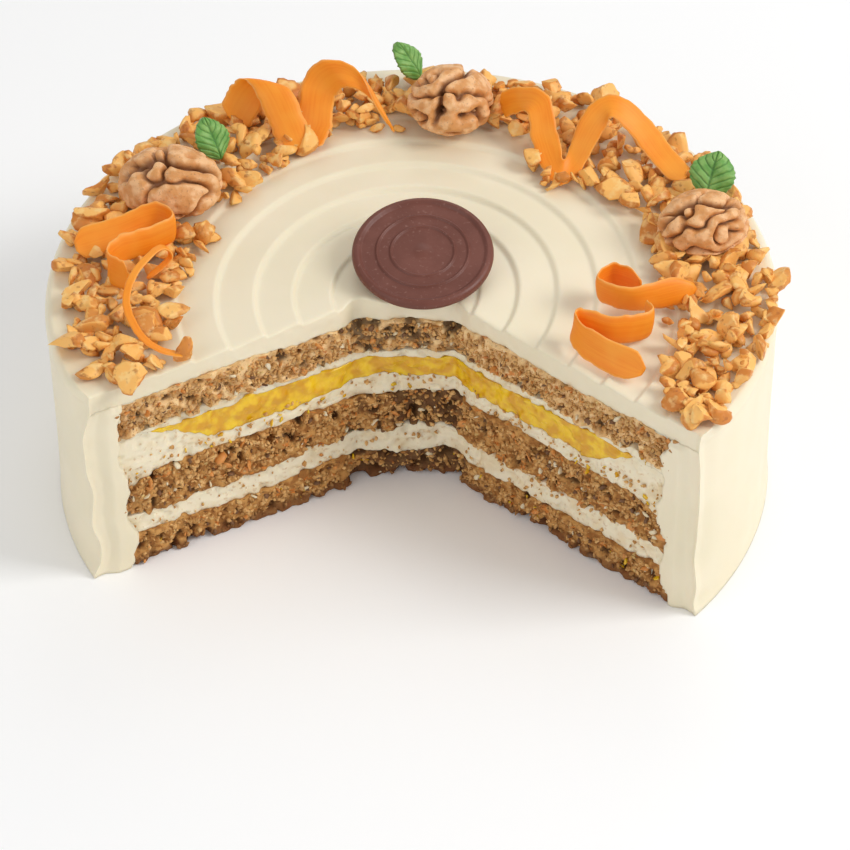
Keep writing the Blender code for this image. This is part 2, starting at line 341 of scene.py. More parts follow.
def crumb_depth(points, torn):
    """How far sponge sits behind the cut: fine grain, 2 mm lumps and holes where noise is highest."""
    grain = 0.8 * MM * fractal(points, 1.4 * MM, 2, 11)
    lumps = 1.5 * MM * smooth(noise(points, 3.2 * MM, 12), 0.2, 0.75)
    holes = 3.2 * MM * smooth(noise(points, 2.6 * MM, 13), 0.64, 0.86)
    tears = 5 * MM * noise(points, 9 * MM, 14) + 3 * MM * smooth(noise(points, 4 * MM, 15), 0.6, 0.85)
    return grain + lumps + holes + torn * tears - PROUD


def cream_depth(points, torn):
    """Cream at the cut: a soft smear stretched along the cut, with shallow pulls and small lumps."""
    pulls = 0.9 * MM * fractal(points * (1, 1, 2.2), 5 * MM, 3, 21)
    lumps = 0.9 * MM * smooth(noise(points, 2.4 * MM, 23), 0.5, 0.85)
    return pulls + lumps + torn * 4 * MM * noise(points, 8 * MM, 14) - 0.1 * MM


def curd_depth(points, torn):
    """Curd at the cut: rounded beads about 3 mm across that stand proud."""
    beads = 1.8 * MM * (1 - fractal(points, 3.2 * MM, 2, 22)) - 0.5 * MM
    return beads + torn * 4 * MM * noise(points, 8 * MM, 14)


def layer(name, low, high, radius, depth, look, slot, grid=0.5 * MM):
    """A closed layer between two height functions, with a displaced cut face."""
    spacing = grid * FINE
    inner, side, torn, ends = cut_path(radius, spacing)
    outer = rim_points(radius, len(inner))
    bottom = low(inner)
    top = np.maximum(high(inner), bottom + 0.3 * MM)
    rows = max(4, int(np.max(top - bottom) / spacing))
    share = np.linspace(0, 1, rows)[:, None]
    face = np.empty((rows, len(inner), 3))
    face[..., 2] = bottom + (top - bottom) * share
    face[..., :2] = inner
    push = depth(face, torn) + 1.2 * MM * (1 - ends)
    face[..., :2] -= push[..., None] * side
    rings = [face]
    start = face[-1, :, :2]
    for part in (0.01, 0.03, 0.08, 0.2, 0.5, 1.0):
        xy = start + (outer - start) * part
        rings.append(np.dstack([xy[None], high(xy)[None, :, None]]))
    start = face[0, :, :2]
    for part in (1.0, 0.5, 0.2, 0.08, 0.03, 0.01):
        xy = start + (outer - start) * part
        rings.append(np.dstack([xy[None], low(xy)[None, :, None]]))
    points = capped(np.concatenate(rings).transpose(1, 0, 2)).transpose(1, 0, 2)
    # how deep each cut-face point lies, in mm: the sponge look turns this into painted shade in the deepest
    # pits
    pits = np.zeros(points.shape[:2])
    pits[:rows, 1:-1] = (push + PROUD) / MM
    faces = quads(*points.shape[:2], wrap_rows=True)
    return piece(name, points, faces, look, slot, (name,), tone=pits)


def sponge_look(name, light, mid, dark):
    """Moist crumb: two browns in soft patches, dark specks of nut, orange and yellow shreds, painted shade in
    the deep pits.
    """
    look = Look(name, 0.8, 0.12, 1.5 * MM)
    colour = look.mix(look.noise(3.0 * MM, 3).ramp(0.38, 0.62), mid, light)
    colour = look.mix(look.noise(0.9 * MM, 2).ramp(0.56, 0.72) * 0.7, colour, dark)
    shreds = look.noise(2.4 * MM, 1, (1.6, 1.6, 0.7)).ramp(0.67, 0.71)
    colour = look.mix(shreds * 0.8, colour, (0.62, 0.20, 0.03))
    colour = look.mix(look.noise(1.9 * MM, 1).ramp(0.69, 0.74) * 0.7, colour, (0.75, 0.55, 0.22))
    # painted shade: the deeper a point lies behind the cut, the nearer to black it is coloured
    colour = look.mix(look.tone().ramp(1.7, 3.4) * 0.75, colour, (0.07, 0.03, 0.012))
    x, y, z = look.node("ShaderNodeSeparateXYZ", {}, look.place)
    colour = look.mix(((x * x + y * y) ** 0.5).ramp(92 * MM, 100 * MM) * 0.5, colour, (0.33, 0.11, 0.02))
    colour = look.mix((0.004 - z).ramp(0.0, 2.5 * MM) * 0.75, colour, (0.17, 0.055, 0.012))
    look.set("Base Color", colour)
    look.bump(look.noise(0.7 * MM, 2), 0.25 * MM, 0.6)
    return look


CREAM_COLOUR = (0.86, 0.77, 0.57)
# painted shade: the second sponge is the same crumb made darker, for the shade that falls on the lower and
# middle layers deep in the cut
sponge_light = sponge_look("sponge_light", (0.90, 0.62, 0.31), (0.70, 0.41, 0.16), (0.30, 0.12, 0.035))
sponge_painted_shade = sponge_look("sponge_painted_shade", (0.60, 0.31, 0.09), (0.33, 0.13, 0.025), (0.10, 0.035, 0.008))

cream_look = Look("filling_cream", 0.45, 0.18, 2 * MM)
wide_stain = cream_look.noise(7 * MM, 3).ramp(0.45, 0.7)
fine_stain = cream_look.noise(1.7 * MM, 3).ramp(0.57, 0.72)
smeared = cream_look.mix(wide_stain * 0.45, CREAM_COLOUR, (0.74, 0.56, 0.30))
smeared = cream_look.mix(fine_stain * 0.55, smeared, (0.55, 0.32, 0.12))
cream_look.set("Base Color", smeared)
cream_look.bump(cream_look.noise(1.6 * MM, 3), 0.3 * MM, 0.5)

curd_look = Look("fruit_curd", 0.22, 0.2, 3 * MM, coat=0.3)
curd_look.set("Base Color", curd_look.mix(curd_look.noise(4 * MM, 2).ramp(0.35, 0.65),
                                          (0.70, 0.34, 0.004), (0.88, 0.56, 0.012)))
curd_look.set("Roughness", curd_look.noise(3 * MM, 1) * 0.25 + 0.12)
curd_look.bump(curd_look.noise(2.5 * MM, 1), 0.4 * MM, 0.4)

layer("sponge_bottom", LEVELS["base"], LEVELS["cream_lower"], SPONGE_RADIUS, crumb_depth,
      sponge_painted_shade, "sponge")
layer("cream_lower", LEVELS["cream_lower"], LEVELS["sponge_middle"], SPONGE_RADIUS, cream_depth,
      cream_look, "cream")
layer("sponge_middle", LEVELS["sponge_middle"], LEVELS["cream_middle"], SPONGE_RADIUS, crumb_depth,
      sponge_painted_shade, "sponge")
layer("cream_middle", LEVELS["cream_middle"], ring_top, SPONGE_RADIUS, cream_depth, cream_look, "cream")
layer("curd", LEVELS["curd"], LEVELS["cream_thin"], CURD_RADIUS, curd_depth, curd_look, "curd")
layer("cream_thin", LEVELS["cream_thin"], LEVELS["sponge_top"], SPONGE_RADIUS, cream_depth,
      cream_look, "cream")
layer("sponge_top", LEVELS["sponge_top"], LEVELS["lid"], SPONGE_RADIUS, crumb_depth,
      sponge_light, "sponge")

# %% [markdown]
# ## Frosting
# The frosting is one skin: a lid, a rounded shoulder and a side wall. A turning palette knife leaves
# terraces with a soft step between them, so the lid is a saw-tooth in the radius, drifting with the angle
# into a loose spiral. At the cut the frosting laps raggedly over the ends of the layers.


# %% frosting mesh and look
def ripple(xy):
    """Knife terraces: each ring sinks slowly outward by f, then steps up over its last eighth."""
    radius = np.linalg.norm(xy, axis=-1)
    angle = np.arctan2(xy[..., 1], xy[..., 0])
    drift = 3.0 * MM * np.sin(angle + 0.6) + 1.6 * MM * np.sin(2 * angle + 2.0)
    flat = np.concatenate([xy, np.zeros(xy.shape[:-1] + (1,))], axis=-1)
    drift = drift + 4.0 * MM * (noise(flat, 60 * MM, 41) - 0.5)
    turn = (radius + drift) / (12.0 * MM)
    f = turn - np.floor(turn)
    scoop = np.where(f < 0.86, f / 0.86, 1 - smooth(f, 0.86, 1.0))
    fade = smooth(radius, 12 * MM, 26 * MM) * (1 - smooth(radius, 92 * MM, 104 * MM))
    deep = 0.55 * MM + 0.9 * MM * noise(flat, 45 * MM, 42)
    return -deep * scoop * fade + 0.25 * MM * (noise(flat, 30 * MM, 43) - 0.5)


def build_frosting():
    """The closed frosting skin, column by column: inner wall, ceiling, cut edge, lid, side and foot."""
    spacing = 0.5 * MM * FINE
    inner, side, torn, ends = cut_path(RADIUS - 0.2 * MM, spacing)
    outer = rim_points(RADIUS - 0.2 * MM, len(inner))
    span = outer - inner
    a = (span ** 2).sum(1)
    b = (inner * span).sum(1)
    c = (inner ** 2).sum(1) - (SPONGE_RADIUS - 9 * MM) ** 2
    share = np.where(c < 0, (-b + np.sqrt(np.maximum(b * b - a * c, 0))) / np.maximum(a, 1e-12), 0)
    wall = inner + np.clip(share, 0, 1)[:, None] * span
    open_side = (c >= 0)
    ceiling = LEVELS["lid"]

    def pushed(xy, z):
        """A point of the cut face, set back by a soft smear."""
        points = np.concatenate([np.broadcast_to(xy, z.shape + (2,)), z[..., None]], axis=-1)
        push = (0.5 * MM * noise(points * (1, 1, 0.6), 7 * MM, 51) + 0.25 * MM * noise(points, 2 * MM, 52)
                + torn * 3.5 * MM * noise(points, 8 * MM, 14)) * ends
        radius = np.linalg.norm(points[..., :2], axis=-1)
        wander = 9.0 * MM * noise(points, 11 * MM, 55) + 3.5 * MM * fractal(points, 3 * MM, 2, 56)
        hide = smooth(SPONGE_RADIUS + 0.5 * MM - np.maximum(wander - 2 * MM, 1.2 * MM) - radius, 0, 0.6 * MM)
        under = points[..., 2] < ceiling(points[..., :2]) - 0.1 * MM
        lap = (1 - hide) * (1 - smooth(radius, 101.5 * MM, 106 * MM)) * (radius > SPONGE_RADIUS - 9 * MM)
        push = push + (3.5 * MM * hide - 1.7 * MM * lap) * under
        points[..., :2] -= push[..., None] * side
        return points

    rows = []
    low_rows = int(63 / (1.0 * FINE))
    z = ceiling(wall) * np.linspace(0, 1, low_rows)[:, None]
    lower = pushed(wall, z)
    hidden = np.concatenate([np.broadcast_to(wall, z.shape + (2,)), z[..., None]], axis=-1)
    rows.append(np.where(open_side[None, :, None], lower, hidden))
    for part in (0.5, 1.0):
        xy = wall + (inner - wall) * part
        hidden = np.concatenate([xy, ceiling(xy)[:, None]], axis=1)[None]
        rows.append(pushed(xy, ceiling(xy)[None]) if part == 1.0 else hidden)
    crown = HEIGHT + ripple(inner)
    count = int(16 / FINE)
    share = np.linspace(0, 1, count + 1)[1:]
    z = ceiling(inner) + (crown - 0.5 * MM - ceiling(inner)) * share[:, None]
    rows.append(pushed(inner, z))
    edge = rows[-1][-1, :, :2]
    long = np.linalg.norm(outer - edge, axis=1)
    lid_rows = int(150 / FINE)
    parts = np.linspace(0, 1, lid_rows) ** 1.15
    stop = np.maximum(1 - SHOULDER / np.maximum(long, 1e-9), 0)
    stop = np.where(long < 3 * SHOULDER, 1 - 1 / 3 * smooth(long, 0, 3 * SHOULDER), stop)
    for part in parts[1:]:
        share = part * stop
        xy = edge + (outer - edge) * share[:, None]
        z = HEIGHT + ripple(xy)
        z = z - 0.5 * MM * np.exp(-share * long / (0.5 * MM))
        rows.append(np.dstack([xy[None], z[None, :, None]]))
    lip = rows[-1][0]
    radial = outer / np.linalg.norm(outer, axis=1, keepdims=True)
    for turn in np.linspace(0, math.pi / 2, 9)[1:]:
        share = math.sin(turn)
        xy = lip[:, :2] + (outer - lip[:, :2]) * share
        z = lip[:, 2] + (HEIGHT - SHOULDER - lip[:, 2]) * (1 - math.cos(turn))
        rows.append(np.dstack([xy[None], z[None, :, None]]))
    side_rows = int(66 / (1.0 * FINE))
    z = (HEIGHT - SHOULDER) * np.linspace(1, 0, side_rows)[1:, None] * np.ones(len(outer))
    points = np.concatenate([np.broadcast_to(outer, z.shape + (2,)), z[..., None]], axis=-1)
    scrape = 0.3 * MM * noise(points * (1, 1, 0.12), 5 * MM, 53) + 0.5 * MM * noise(points, 28 * MM, 54)
    points[..., :2] -= (scrape * ends * smooth(z, 0, 3 * MM))[..., None] * radial
    rows.append(points)
    xy = outer + (wall - outer) * 0.5
    rows.append(np.dstack([xy[None], np.zeros((1, len(xy), 1))]))
    points = np.concatenate(rows)
    for corner, seed, swing in ((inner[0], 57, 3.4 * MM), (inner[-1], 58, 1.6 * MM)):
        near = np.exp(-(np.linalg.norm(points[..., :2] - corner, axis=-1) / (7 * MM)) ** 2)
        line = np.stack([points[..., 2], np.zeros_like(near), np.zeros_like(near)], axis=-1)
        wave = swing * noise(line, 11 * MM, seed) * smooth(points[..., 2], 0, 6 * MM)
        points[..., :2] -= (near * wave)[..., None] * corner / np.linalg.norm(corner)
    return piece("frosting", points, quads(*points.shape[:2], wrap_rows=True), frosting_look, "frosting",
                 ("frosting",))


frosting_look = Look("frosting", 0.42, 0.15, 2 * MM)
shade = frosting_look.noise(26 * MM, 2)
frosting_look.set("Base Color", frosting_look.mix(shade.ramp(0.35, 0.65),
                                                  (0.83, 0.745, 0.545), (0.86, 0.77, 0.575)))
frosting_look.set("Roughness", frosting_look.noise(9 * MM, 2) * 0.2 + 0.34)
frosting_look.bump(frosting_look.noise(2.2 * MM, 3, (1, 1, 3)), 0.12 * MM, 0.35)
build_frosting()

# %% [markdown]
# ## Chocolate disc
# The disc was cast in a mould, so it is a turned profile: a fat round rim, a groove inside it and low
# raised rings. It lies tipped towards the gap, and handling has left fine pale scuffs.


# %% chocolate disc
def turned(profile, around):
    """A closed (radius, height) profile swept round Z as a grid of points."""
    angle = np.linspace(0, math.tau, around, endpoint=False)
    radius = profile[:, 0][:, None]
    return np.stack([radius * np.cos(angle), radius * np.sin(angle),
                     np.broadcast_to(profile[:, 1][:, None], (len(profile), around))], axis=-1)


DISC_CENTRE = np.array((3.5, 6.8, 75.3)) * MM
DISC_RADIUS = 21.3 * MM
DISC_THICK = 3.6 * MM
DISC_TILT_DEG = 11


def disc_profile():
    """Foot, half-round rim, then the face: ridges are raised cosines on a slightly dished floor."""
    thick = DISC_THICK
    rim = thick / 2
    radius = DISC_RADIUS
    turn = np.linspace(-math.pi / 2, math.pi / 2, 22)
    edge = np.stack([radius - rim + rim * np.cos(turn), rim + rim * np.sin(turn)], axis=-1)
    r = np.linspace(radius - rim - 0.1 * MM, 0, 150)
    floor = thick - 0.9 * MM * smooth(-r, -19.6 * MM, -18.2 * MM)
    for middle, wide, tall in ((13.8, 0.75, 0.55), (9.6, 0.75, 0.55), (0.0, 3.6, 0.5)):
        near = np.clip(np.abs(r / MM - middle) / wide, 0, 1)
        floor = floor + tall * MM * 0.5 * (1 + np.cos(math.pi * near))
    face = np.stack([r, floor], axis=-1)
    return np.concatenate([[(0, 0)], edge, face])


chocolate_look = Look("chocolate", 0.4, 0.0)
scuff = chocolate_look.noise(1.1 * MM, 3).ramp(0.60, 0.74) * 0.6
bloom = chocolate_look.noise(9 * MM, 3).ramp(0.4, 0.7) * 0.5
brown = chocolate_look.mix(bloom, (0.145, 0.042, 0.026), (0.20, 0.066, 0.045))
chocolate_look.set("Base Color", chocolate_look.mix(scuff, brown, (0.27, 0.13, 0.10)))
chocolate_look.set("Roughness", chocolate_look.noise(5 * MM, 2) * 0.2 + 0.34)
chocolate_look.bump(chocolate_look.noise(1.5 * MM, 3), 0.12 * MM, 0.5)
disc = turned(disc_profile(), 192)
tilt = np.array(Matrix.Rotation(math.radians(DISC_TILT_DEG), 3, "X"))
disc = disc @ tilt.T + DISC_CENTRE
piece("chocolate_disc", disc, quads(*disc.shape[:2], wrap_columns=True), chocolate_look, "chocolate",
      ("chocolate_disc",))

# %% [markdown]
# ## Walnuts
# A walnut half is a dome folded like a brain. A smooth noise field over the ball is read as height lines:
# wherever it crosses a whole number the surface sinks, which draws grooves that meander and never cross.
# Chopped pieces are a lumpy ball cut by a few random planes, since a knife leaves flat faces.


# %% walnut halves
def ball(rows, columns):
    """Unit sphere as a grid from pole to pole."""
    polar = np.linspace(0, math.pi, rows)[:, None]
    angle = np.linspace(0, math.tau, columns, endpoint=False)[None, :]
    return np.stack([np.sin(polar) * np.cos(angle), np.sin(polar) * np.sin(angle),
                     np.cos(polar) * np.ones_like(angle)], axis=-1)


def walnut_half(name, centre, size, turn, seed):
    """Ellipsoid * (1 - groove); grooves meander where a noise field crosses whole numbers."""
    draw = np.random.default_rng(seed)
    rows, columns = int(110 / FINE), int(220 / FINE)
    unit = ball(rows, columns)
    shifted = unit + draw.uniform(0, 3, 3)
    field = (2.7 * noise(shifted, 0.72, seed) + 0.9 * noise(shifted, 0.33, seed + 1)
             + 0.5 * np.abs(unit[..., 0]))
    ridge = np.abs(np.sin(math.pi * field))
    groove = np.exp(-(ridge / 0.30) ** 2)
    split = np.exp(-((unit[..., 1] + 0.12 * np.sin(5 * unit[..., 0])) / 0.09) ** 2)
    wrinkle = fractal(unit, 0.16, 3, seed + 9)
    depth = 0.22 * groove + 0.26 * split * smooth(unit[..., 2], -0.1, 0.3)
    radius = 1.0 - depth + 0.08 * (wrinkle - 0.5) + 0.06 * ridge
    point = unit * radius[..., None] * np.array(size) / 2
    point[..., 2] = np.where(point[..., 2] < 0, 0.45 * point[..., 2], point[..., 2])
    turned_by = np.array(Matrix.Rotation(math.radians(turn), 3, "Z"))
    tip = np.array(Matrix.Rotation(math.radians(8), 3, "X"))
    point = point @ (turned_by @ tip).T + np.array(centre)
    return piece(name, point, quads(rows, columns, wrap_columns=True), walnut_look, "walnut",
                 (name,), tone=np.clip(depth * 3.4, 0, 1))


def nut_look(name, pale, skin, dark, rough):
    """Kernel skin: pale crowns, brown skin, dark grooves, and streaks running a few millimetres."""
    look = Look(name, rough, 0.08, 1.2 * MM)
    colour = look.mix(look.noise(3.2 * MM, 3).ramp(0.40, 0.62), skin, pale)
    colour = look.mix(look.noise(0.8 * MM, 3).ramp(0.55, 0.75) * 0.45, colour, dark)
    colour = look.mix(look.tone().ramp(0.15, 0.8) * 0.85, colour, dark)
    look.set("Base Color", colour)
    look.bump(look.noise(0.8 * MM, 3), 0.25 * MM, 0.6)
    return look


walnut_look = nut_look("walnut_skin", (0.86, 0.50, 0.24), (0.68, 0.31, 0.10), (0.17, 0.05, 0.016), 0.5)
walnut_half("walnut_half_1", (-73 * MM, 39 * MM, 78.5 * MM), (31 * MM, 26 * MM, 22 * MM), -6, 3)
walnut_half("walnut_half_2", (13 * MM, 79 * MM, 78.5 * MM), (28 * MM, 25 * MM, 21 * MM), 60, 5)
walnut_half("walnut_half_3", (88 * MM, 16 * MM, 78.5 * MM), (26.5 * MM, 22 * MM, 20 * MM), 8, 11)

# %% [markdown]
# ## Chopped walnuts
# A band of chopped kernels lies round the outer third of the lid, heaped near the halves and thinning
# inwards. The band's inner edge wanders, so its radius is read from a short table against the angle.


# %% chopped walnuts
CHOPPED_COUNT = 720
LARGE_LONG_MM = 4.2
BAND_DEG = (-41, -34, -17, -7, 13, 31, 48, 69, 92, 106, 120, 145, 160, 185, 204, 209)
BAND_INNER = (104, 85, 79, 73, 74, 75, 60, 78, 74, 77, 68, 65, 63, 70, 72, 74)
BAND_OUTER = (106, 107, 108, 108, 106, 106, 107, 103, 99, 101, 106, 107, 106, 104, 102, 101)


def chunk(sizes, seeds, rows, columns, lean=3.0):
    """Many cut nut pieces at once: a lumpy ball, then points beyond each random plane drop onto it.
    The second result is 1 where a plane cut and 0 where the skin is left."""
    unit = ball(rows, columns).reshape(-1, 3)
    shapes = []
    tones = []
    for size, seed in zip(sizes, seeds):
        draw = np.random.default_rng(seed)
        lumpy = 0.72 + 0.5 * noise(unit, 0.8, int(seed)) + 0.25 * noise(unit, 0.3, int(seed) + 5)
        point = unit * lumpy[:, None]
        fresh = np.zeros(len(unit))
        for _ in range(5):
            face = draw.normal(size=3)
            face /= np.linalg.norm(face)
            beyond = np.maximum(point @ face - draw.uniform(0.28, 0.7), 0)
            point = point - 0.95 * beyond[:, None] * face
            fresh = np.maximum(fresh, beyond)
        bend = draw.uniform(-0.45, 0.45, 2)
        point[:, 1] += bend[0] * point[:, 0] ** 2
        point[:, 2] += bend[1] * point[:, 0] ** 2
        spin = np.array(Matrix.Rotation(draw.uniform(0, math.tau), 3, "Z")
                        @ Matrix.Rotation(draw.normal() * lean, 3, "X")
                        @ Matrix.Rotation(draw.normal() * lean, 3, "Y"))
        shapes.append((point * size) @ spin.T)
        tones.append(0.65 * smooth(fresh, 0, 0.12) + draw.uniform(0, 0.35))
    return np.array(shapes), np.array(tones)


def join(shapes, rows, columns):
    """Quads for many copies of one grid, numbered after each other."""
    one = quads(rows, columns, wrap_columns=True)
    step = np.arange(len(shapes))[:, None, None] * rows * columns
    return (one[None] + step).reshape(-1, 4)


def chopped_places(count):
    """Random spots in the band, later ones lifted onto earlier ones that they would cover."""
    spots = []
    keep_clear = [(-73, 39, 15), (13, 79, 14), (88, 16, 14), (91, 32, 9), (-61, 54, 8), (0, 94, 7),
                  (60, -12, 9), (57, -31, 9), (66, -44, 6), (45, 55, 5)]
    while len(spots) < count:
        degrees = rng.uniform(-40.5, 207.5)
        near = np.interp(degrees, BAND_DEG, BAND_INNER)
        far = np.interp(degrees, BAND_DEG, BAND_OUTER)
        radius = near + (far - near) * rng.beta(1.35, 1.15)
        long = min(rng.gamma(4.0, 0.60) + 1.3, 5.6)
        thin = long * rng.uniform(0.38, 0.65)
        x = radius * math.cos(math.radians(degrees))
        y = radius * math.sin(math.radians(degrees))
        if any(math.hypot(x - a, y - b) < r * 0.8 for a, b, r in keep_clear):
            continue
        under = [s for s in spots if math.hypot(x - s[0], y - s[1]) < 0.5 * (s[3] + long)]
        z = max([71.0 + 0.7 * thin] + [s[2] + 0.55 * (s[4] + thin) for s in under])
        if z > 76:
            continue
        spots.append((x, y, z, long, thin))
    return np.array(spots)


def scatter(name, places, seed, rows, columns):
    """One mesh of many cut pieces lying in the band, none below the lid or past the rim."""
    long, thin = places[:, 3], places[:, 4]
    sizes = np.stack([long, long * rng.uniform(0.5, 0.8, len(places)), thin], axis=-1) * MM
    shapes, tones = chunk(sizes, np.arange(len(places)) + seed, rows, columns, 0.35)
    shapes = shapes + places[:, None, :3] * MM
    shapes[..., :2] *= np.minimum(1, 109.5 * MM / np.linalg.norm(shapes[..., :2], axis=-1))[..., None]
    shapes[..., 2] += np.maximum(70.9 * MM - shapes[..., 2].min(axis=1), 0)[:, None]
    piece(name, shapes, join(shapes, rows, columns), golden_look, "walnut", tone=tones)


golden_look = Look("walnut_chopped", 0.5, 0.12, 1.5 * MM)
golden = golden_look.mix(golden_look.tone().ramp(0.1, 0.75), (0.64, 0.22, 0.03), (0.94, 0.50, 0.13))
# painted highlight: pale gold patches scattered over the pieces
golden = golden_look.mix(golden_look.noise(3.0 * MM, 3).ramp(0.50, 0.68) * 0.6, golden, (0.98, 0.68, 0.28))
golden = golden_look.mix(golden_look.noise(2.2 * MM, 3).ramp(0.57, 0.72) * 0.6, golden, (0.36, 0.10, 0.015))
golden_look.set("Base Color", golden)
golden_look.bump(golden_look.noise(1.1 * MM, 3), 0.25 * MM, 0.5)
places = chopped_places(CHOPPED_COUNT)
big = places[:, 3] > LARGE_LONG_MM
scatter("chopped_walnut_large", places[big], 100, 12, 18)
scatter("chopped_walnut_small", places[~big], 1100, 7, 10)

# larger pieces that are nodes of their own
LARGE = [
    (-82, -45, 6, 4), (-101, -30, 6, 4), (-101, -8, 5, 4), (-96, 29, 5, 4),
    (-50, 47, 4, 3), (-62, 23, 4, 3), (46, 85, 4, 4), (64, 38, 5, 4),
    (79, -2, 5, 4), (98, -2, 5, 3), (109, -4, 4, 4), (107, -22, 5, 3),
    (98, -42, 4, 3), (77, -58, 5, 4), (87, -64, 4, 3), (85, -30, 5, 3),
]
for count, (x, y, long, wide) in enumerate(LARGE, 1):
    shape, shade = chunk([np.array((long, wide, wide * 0.7)) * MM * 1.1], [500 + count], 24, 36, 0.3)
    shape += np.array((x, y, 71.2 + wide * 0.6)) * MM
    shape[..., 2] += max(71.1 * MM - shape[..., 2].min(), 0)
    shape[..., 0] = np.minimum(shape[..., 0], 113 * MM)
    name = f"walnut_piece_{count:02d}"
    piece(name, shape, join(shape, 24, 36), golden_look, "walnut", (name,), tone=shade)

# %% [markdown]
# ## Carrot ribbons
# A vegetable peeler takes off a strip about a millimetre thick that curls as it dries. The strip follows
# a Catmull-Rom curve through a few stations, and its section is slightly dished with a ragged edge.


# %% carrot ribbons
def ribbon(name, width, stations, seed, steps=14):
    """A thin strip: middle line and edge direction both follow a Catmull-Rom curve through stations."""
    knots = []
    for x, y, z, yaw, pitch in stations:
        yaw, pitch = math.radians(yaw), math.radians(pitch)
        knots.append((x * MM, y * MM, z * MM, math.cos(pitch) * math.cos(yaw),
                      math.cos(pitch) * math.sin(yaw), math.sin(pitch)))
    knots = np.array(knots)
    knots = np.concatenate([[2 * knots[0] - knots[1]], knots, [2 * knots[-1] - knots[-2]]])
    t = (np.arange(steps) / steps)[:, None]
    rows = [0.5 * (2 * b + (c - a) * t + (2 * a - 5 * b + 4 * c - d) * t ** 2
                   + (3 * b - a - 3 * c + d) * t ** 3)
            for a, b, c, d in zip(knots, knots[1:], knots[2:], knots[3:])]
    rows = np.concatenate(rows + [knots[-2:-1]])
    middle = rows[:, :3]
    edge = rows[:, 3:] / np.linalg.norm(rows[:, 3:], axis=1, keepdims=True)
    ahead = np.gradient(middle, axis=0)
    out = np.cross(ahead, edge)
    out /= np.linalg.norm(out, axis=1, keepdims=True)
    count = len(rows)
    along = np.arange(count) / steps
    taper = smooth(np.minimum(along, along[::-1]), -0.15, 0.25)
    line = np.stack([along * 9, np.full(count, seed * 1.7), np.zeros(count)], axis=-1)
    left = width / 2 * taper * (0.92 + 0.16 * noise(line, 1.3, seed))
    right = width / 2 * taper * (0.92 + 0.16 * noise(line + 5, 1.3, seed + 1))
    across = np.linspace(-1, 1, 11)
    thick = 0.45 * MM * (1 - 0.75 * across ** 6)
    dish = 0.05 * width * across ** 2
    reach_out = np.where(across[None] > 0, right[:, None], left[:, None]) * across
    loops = []
    for sign, order in ((1, slice(None)), (-1, slice(None, None, -1))):
        lift = (dish + sign * thick)[order]
        loops.append(middle[:, None] + edge[:, None] * reach_out[:, order, None]
                     + out[:, None] * lift[None, :, None])
    grid = np.concatenate(loops, axis=1)
    grid[..., 2] = np.clip(grid[..., 2], 71.3 * MM, 94.9 * MM)
    grid = capped(grid)
    # 1 at the ribbon's edges: used for a painted glow where light shows through the thin edge
    thin_edge_glow = np.abs(np.concatenate([across, across[::-1]]))[None].repeat(len(grid), 0)
    streak = np.concatenate([across, across[::-1]])[None].repeat(len(grid), 0)
    return piece(name, grid, quads(*grid.shape[:2], wrap_columns=True), carrot_look, "carrot", (name,),
                 tone=thin_edge_glow, streak=streak)


carrot_look = Look("carrot_ribbon", 0.5, 0.2, 2 * MM)
lines = carrot_look.node("ShaderNodeCombineXYZ", {}, carrot_look.tone("streak") * 9, 0.0, 0.0)[0]
soft = carrot_look.node("ShaderNodeVectorMath", {"operation": "SCALE"}, carrot_look.place, Scale=60.0)[0]
grain = carrot_look.node("ShaderNodeTexNoise", {}, Vector=lines + soft, Scale=1.0, Detail=2.0)[0]
orange = carrot_look.mix(grain.ramp(0.3, 0.7), (0.90, 0.25, 0.006), (0.94, 0.30, 0.012))
orange = carrot_look.mix(carrot_look.noise(12 * MM, 2).ramp(0.35, 0.7) * 0.6, orange, (0.97, 0.38, 0.035))
# painted light: the outermost edge made lighter, as if light shone through it
orange = carrot_look.mix(carrot_look.tone().ramp(0.86, 1.0) * 0.5, orange, (1.0, 0.50, 0.16))
carrot_look.set("Base Color", orange)
carrot_look.bump(grain, 0.05 * MM, 0.25)

ribbon("carrot_ribbon_1", 9.5 * MM, [
    (-101, 12, 77, 110, 45), (-89, 16, 79, 90, 50), (-77, 21, 81, 90, 65), (-71, 17, 80, 90, 85),
    (-78, 12, 79, 90, 85), (-87, 6, 80, 90, 72), (-90, 0, 79, 90, 72), (-84, -4, 78, 90, 72),
], 61)
ribbon("carrot_ribbon_2", 2.4 * MM, [
    (-79, 0, 74, -60, 0), (-72, 4, 79, -60, 0), (-75, 2, 84, -50, 0), (-82, -9, 83, -25, 0),
    (-84, -19, 80, 0, 0), (-80, -29, 77, 30, 0), (-74, -34, 75, 55, 0), (-66, -36, 74, 80, 0),
], 62)
ribbon("carrot_ribbon_3", 11.5 * MM, [
    (-55, 76, 75, 150, 30), (-51, 79, 82, 160, 25), (-46, 79, 88, 170, 10), (-42, 75, 87, 180, 0),
    (-38, 69, 80, 180, 0), (-34, 63, 74, 180, 0), (-30, 72, 76, 175, 10), (-28, 79, 85, 165, 30),
    (-22, 79, 91, 150, 45), (-13, 77, 87, 145, 60), (-6, 70, 77, 155, 50),
], 63)
ribbon("carrot_ribbon_4", 8.5 * MM, [
    (29, 78, 78, 115, 60), (34, 74, 83, 75, 50), (40, 69, 85, 30, 25), (42, 61, 78, 10, 15),
    (46, 49, 74, 70, 30), (51, 53, 76, 115, 30), (57, 60, 85, 140, 20), (63, 62, 89, 80, 20),
    (71, 58, 84, 45, 10), (77, 51, 79, 40, 10), (84, 43, 75, 35, 5),
], 64)
